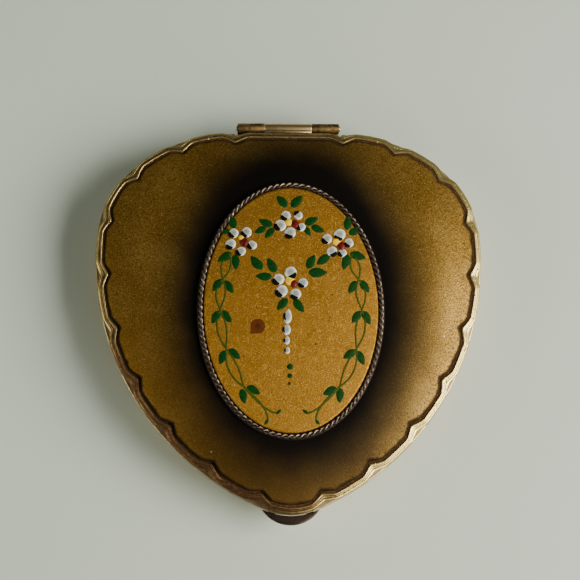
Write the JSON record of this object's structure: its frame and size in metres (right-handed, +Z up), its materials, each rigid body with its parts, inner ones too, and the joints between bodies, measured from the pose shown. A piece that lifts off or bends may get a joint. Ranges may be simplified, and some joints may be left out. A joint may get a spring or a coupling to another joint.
{
  "type": "heart-shaped trinket box",
  "caption": "Flat heart-shaped metal trinket box with a scalloped hinged lid, an oval painted plaque, a mirror inside the lid, a shallow well and a press catch at the tip.",
  "frame": {"origin": "centre of the bounding box's underside, on the surface the box rests on", "axes": "+Z up; the heart's tip and the catch point to -Y and the hinge to +Y; X is across the heart, whose plane of symmetry is X = 0"},
  "size_m": [0.0764, 0.0802, 0.0158],
  "materials": {
    "base_gilt": "gilt brass, satin, lightly tarnished",
    "rim_gilt": "gilt brass, polished, worn at the edges",
    "inner_gilt": "gilt brass, fine brushed",
    "hinge_gilt": "gilt brass, darkened with age",
    "thumb_gilt": "gilt brass, darkened with age",
    "bezel_metal": "oxidised twisted rope strip",
    "lacquer": "satin metallic gold lacquer, shaded to near black round the plaque",
    "plaque_paint": "mustard gold ground with raised painted flowers",
    "steel": "bright",
    "spring_steel": "blued spring steel",
    "mirror": "silvered glass",
    "card": "grey-brown card",
    "puff_velour": "short pile velour",
    "ribbon_satin": "satin ribbon",
    "sifter_cloth": "fine woven net"
  },
  "bodies": {
    "base": {"base_pan": "base_gilt", "base_rim": "rim_gilt", "well_pan": "inner_gilt", "sifter_frame": "inner_gilt", "sifter_net": "sifter_cloth", "puff_pad": "puff_velour", "puff_ribbon": "ribbon_satin", "base_hinge_leaf": "hinge_gilt", "hinge_pin": "steel", "catch_guide": "inner_gilt", "guide_rivets": "steel", "catch_spring": "spring_steel"},
    "lid": {"lid_frame": "rim_gilt", "lid_panel": "lacquer", "plaque_bezel": "bezel_metal", "oval_plaque": "plaque_paint", "mirror_frame": "inner_gilt", "mirror_glass": "mirror", "mirror_card": "card", "lid_hinge_leaf": "rim_gilt", "lid_keeper": "inner_gilt"},
    "catch": {"thumb_piece": "thumb_gilt", "catch_slide": "inner_gilt"}
  },
  "joints": [
    {"name": "lid_hinge", "type": "hinge", "parent": "base", "child": "lid", "pos_m": [0, 0.03905, 0.0095], "axis": [-1, 0, 0], "range_deg": [0, 110]},
    {"name": "catch_press", "type": "slide", "parent": "base", "child": "catch", "axis": [0, 1, 0], "range_m": [0, 0.0009], "stiffness_N_per_m": 400, "deforming": ["catch_spring"]}
  ]
}
